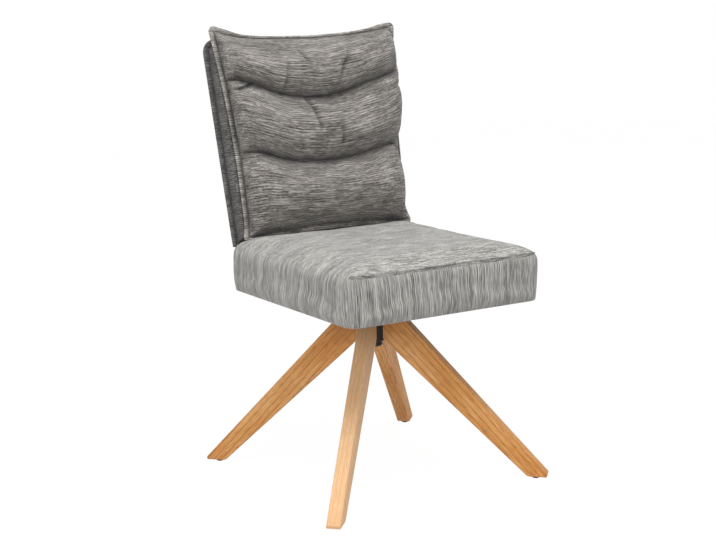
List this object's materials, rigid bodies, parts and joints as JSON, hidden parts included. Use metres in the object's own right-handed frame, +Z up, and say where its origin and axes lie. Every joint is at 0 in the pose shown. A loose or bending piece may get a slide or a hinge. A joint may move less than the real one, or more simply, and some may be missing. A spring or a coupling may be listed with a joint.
{
  "type": "swivel dining chair",
  "caption": "Upholstered dining chair with a boxed seat, a two-layer backrest and a crossed wooden base whose hub lets the seat turn.",
  "frame": {"origin": "on the floor, on the swivel axis between the four feet", "axes": "+Z up along the swivel axis, the sitter faces -Y, +X to the sitter's left"},
  "size_m": [0.5416, 0.5619, 0.9307],
  "materials": {
    "oak": "oiled solid oak, grain along the leg",
    "glide_plastic": "moulded black polyamide",
    "black_steel": "black powder coat",
    "zinc_steel": "bright zinc plated steel",
    "bearing_plastic": "turned acetal",
    "cap_plastic": "moulded black polyethylene",
    "plywood": "raw beech plywood",
    "dust_cloth": "black non-woven lining",
    "foam": "cut polyurethane foam",
    "seat_chenille": "grey melange chenille",
    "rear_chenille": "grey melange chenille",
    "pillow_chenille": "grey melange chenille, slubs across"
  },
  "bodies": {
    "base": {"leg_front_left": "oak", "leg_rear_left": "oak", "leg_rear_right": "oak", "leg_front_right": "oak", "glide_front_left": "glide_plastic", "glide_rear_left": "glide_plastic", "glide_rear_right": "glide_plastic", "glide_front_right": "glide_plastic", "glide_screws": "zinc_steel", "hub_tube": "black_steel", "hub_fins": "black_steel", "leg_bolts": "zinc_steel", "upper_bush": "bearing_plastic", "lower_bush": "bearing_plastic", "thrust_washer": "bearing_plastic", "hub_cap": "cap_plastic"},
    "seat": {"spindle": "zinc_steel", "end_washer": "zinc_steel", "locking_nut": "zinc_steel", "swivel_plate": "black_steel", "plate_bolts": "zinc_steel", "plate_tee_nuts": "zinc_steel", "seat_board": "plywood", "dust_cover": "dust_cloth", "seat_foam": "foam", "seat_cover": "seat_chenille", "arm_bolts": "zinc_steel", "arm_tee_nuts": "zinc_steel", "arm_right": "black_steel", "arm_left": "black_steel", "back_board": "plywood", "back_screws": "zinc_steel", "back_pad": "rear_chenille", "back_cushion": "pillow_chenille"}
  },
  "joints": [
    {"name": "seat_swivel", "type": "hinge", "parent": "base", "child": "seat", "pos_m": [0, 0, 0.376], "axis": [0, 0, 1], "continuous": true}
  ]
}
